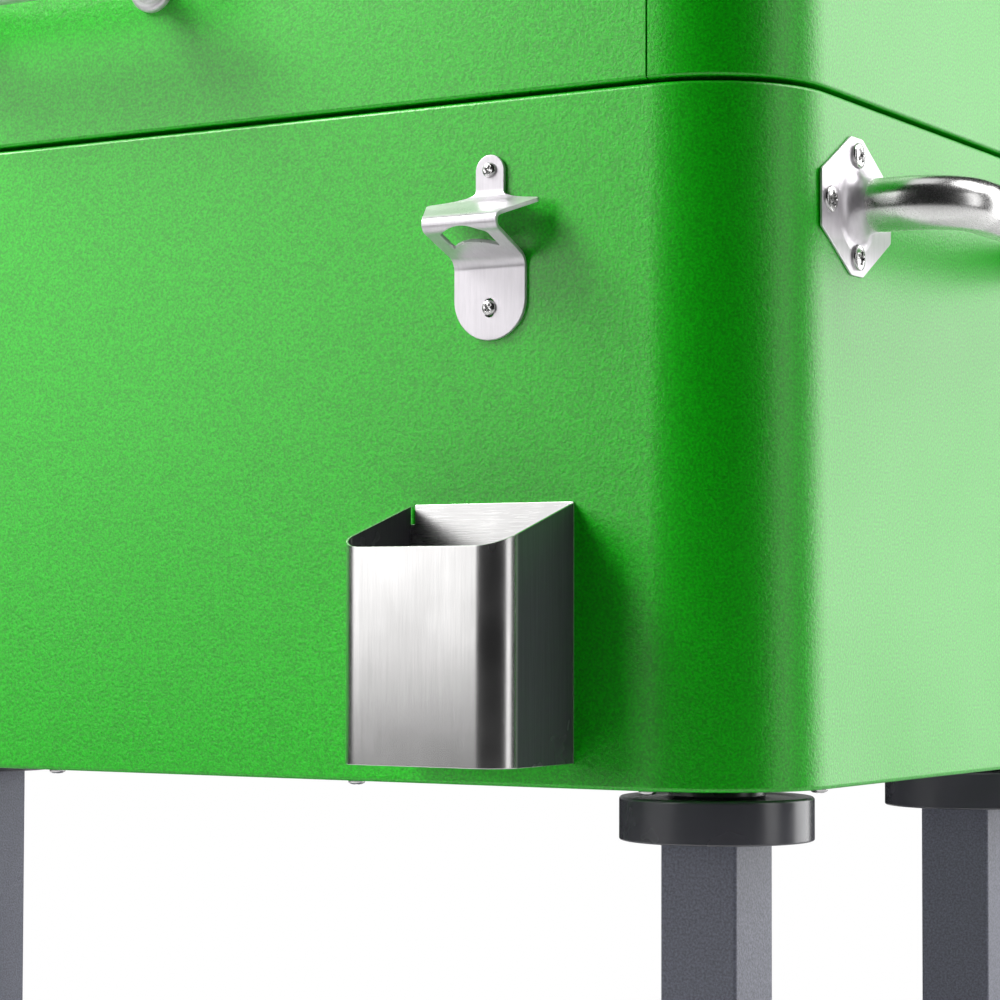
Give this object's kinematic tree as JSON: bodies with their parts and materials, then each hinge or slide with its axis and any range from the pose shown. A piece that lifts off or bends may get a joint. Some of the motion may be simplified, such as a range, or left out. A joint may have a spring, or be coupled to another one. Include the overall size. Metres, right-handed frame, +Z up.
{
  "type": "rolling cooler chest",
  "caption": "Insulated steel drinks chest on legs with casters, with hinged lid, end handles, drain valve, lower shelf, wall bottle opener and cap catcher.",
  "frame": {"origin": "on the floor, at the middle of the object's box seen from above", "axes": "+X to the right end seen from the front, +Y to the rear (the hinge side), +Z up"},
  "size_m": [0.925, 0.4774, 0.861],
  "materials": {
    "green_paint": "satin",
    "grey_paint": "satin",
    "stainless": "satin",
    "zinc_steel": "satin",
    "screw_steel": "polished",
    "liner_plastic": "satin",
    "foam": "matte",
    "collar_plastic": "gloss",
    "black_plastic": "satin",
    "seal_rubber": "matte",
    "wheel_rubber": "matte",
    "valve_brass": "satin"
  },
  "bodies": {
    "cart": {"tub_shell": "green_paint", "tub_liner": "liner_plastic", "tub_foam": "foam", "base_pan": "zinc_steel", "base_pan_screws": "screw_steel", "bottle_opener": "stainless", "opener_screws": "screw_steel", "catcher_box": "stainless", "catcher_back_plate": "stainless", "catcher_screws": "screw_steel", "handle_tube_right": "stainless", "handle_tube_left": "stainless", "handle_flanges": "stainless", "handle_screws": "screw_steel", "drain_body": "valve_brass", "drain_spout": "valve_brass", "drain_gasket": "seal_rubber", "drain_locknut": "black_plastic", "hinge_tub_leaves": "stainless", "hinge_tub_screws": "screw_steel", "hinge_pins": "stainless", "leg_collars": "collar_plastic", "leg_mount_bolts": "zinc_steel", "leg_foot_inserts": "black_plastic", "shelf_tray": "grey_paint", "shelf_bolts": "zinc_steel", "caster_stems": "zinc_steel", "leg_front_right": "grey_paint", "leg_front_left": "grey_paint", "leg_rear_right": "grey_paint", "leg_rear_left": "grey_paint"},
    "lid": {"hinge_lid_leaves": "stainless", "hinge_lid_screws": "screw_steel", "lid_skin": "green_paint", "lid_end_cap_right": "green_paint", "lid_end_cap_left": "green_paint", "lid_seam_strips": "black_plastic", "lid_foam": "foam", "lid_liner": "liner_plastic", "lid_gasket": "seal_rubber", "lid_handle_bar": "stainless", "lid_handle_rosettes": "stainless", "lid_handle_screws": "screw_steel"},
    "drain_valve": {"drain_ball": "screw_steel", "drain_lever": "black_plastic"},
    "caster_front_right": {"fork_front_right": "zinc_steel", "axle_front_right": "screw_steel"},
    "roller_front_right": {"wheel_front_right": "wheel_rubber"},
    "caster_front_left": {"fork_front_left": "zinc_steel", "axle_front_left": "screw_steel"},
    "roller_front_left": {"wheel_front_left": "wheel_rubber"},
    "caster_rear_right": {"fork_rear_right": "zinc_steel", "axle_rear_right": "screw_steel"},
    "roller_rear_right": {"wheel_rear_right": "wheel_rubber"},
    "caster_rear_left": {"fork_rear_left": "zinc_steel", "axle_rear_left": "screw_steel"},
    "roller_rear_left": {"wheel_rear_left": "wheel_rubber"},
    "brake_right": {"brake_pedal_right": "black_plastic"},
    "brake_left": {"brake_pedal_left": "black_plastic"}
  },
  "joints": [
    {"name": "lid_hinge", "type": "hinge", "parent": "cart", "child": "lid", "pos_m": [0, 0.23375, 0.762], "axis": [-1, 0, 0], "range_deg": [0, 95]},
    {"name": "drain_turn", "type": "hinge", "parent": "cart", "child": "drain_valve", "pos_m": [-0.417, 0.02575, 0.491], "axis": [0, 0, -1], "range_deg": [0, 90]},
    {"name": "swivel_front_right", "type": "hinge", "parent": "cart", "child": "caster_front_right", "pos_m": [0.348, -0.12425, 0.075], "axis": [0, 0, 1], "continuous": true},
    {"name": "roll_front_right", "type": "hinge", "parent": "caster_front_right", "child": "roller_front_right", "pos_m": [0.348, -0.10025, 0.0325], "axis": [1, 0, 0], "continuous": true},
    {"name": "brake_press_right", "type": "hinge", "parent": "caster_front_right", "child": "brake_right", "pos_m": [0.348, -0.10225, 0.0695], "axis": [-1, 0, 0], "range_deg": [0, 12]},
    {"name": "swivel_front_left", "type": "hinge", "parent": "cart", "child": "caster_front_left", "pos_m": [-0.348, -0.12425, 0.075], "axis": [0, 0, 1], "continuous": true},
    {"name": "roll_front_left", "type": "hinge", "parent": "caster_front_left", "child": "roller_front_left", "pos_m": [-0.348, -0.10025, 0.0325], "axis": [1, 0, 0], "continuous": true},
    {"name": "brake_press_left", "type": "hinge", "parent": "caster_front_left", "child": "brake_left", "pos_m": [-0.348, -0.10225, 0.0695], "axis": [-1, 0, 0], "range_deg": [0, 12]},
    {"name": "swivel_rear_right", "type": "hinge", "parent": "cart", "child": "caster_rear_right", "pos_m": [0.348, 0.17575, 0.075], "axis": [0, 0, 1], "continuous": true},
    {"name": "roll_rear_right", "type": "hinge", "parent": "caster_rear_right", "child": "roller_rear_right", "pos_m": [0.348, 0.19975, 0.0325], "axis": [1, 0, 0], "continuous": true},
    {"name": "swivel_rear_left", "type": "hinge", "parent": "cart", "child": "caster_rear_left", "pos_m": [-0.348, 0.17575, 0.075], "axis": [0, 0, 1], "continuous": true},
    {"name": "roll_rear_left", "type": "hinge", "parent": "caster_rear_left", "child": "roller_rear_left", "pos_m": [-0.348, 0.19975, 0.0325], "axis": [1, 0, 0], "continuous": true}
  ]
}
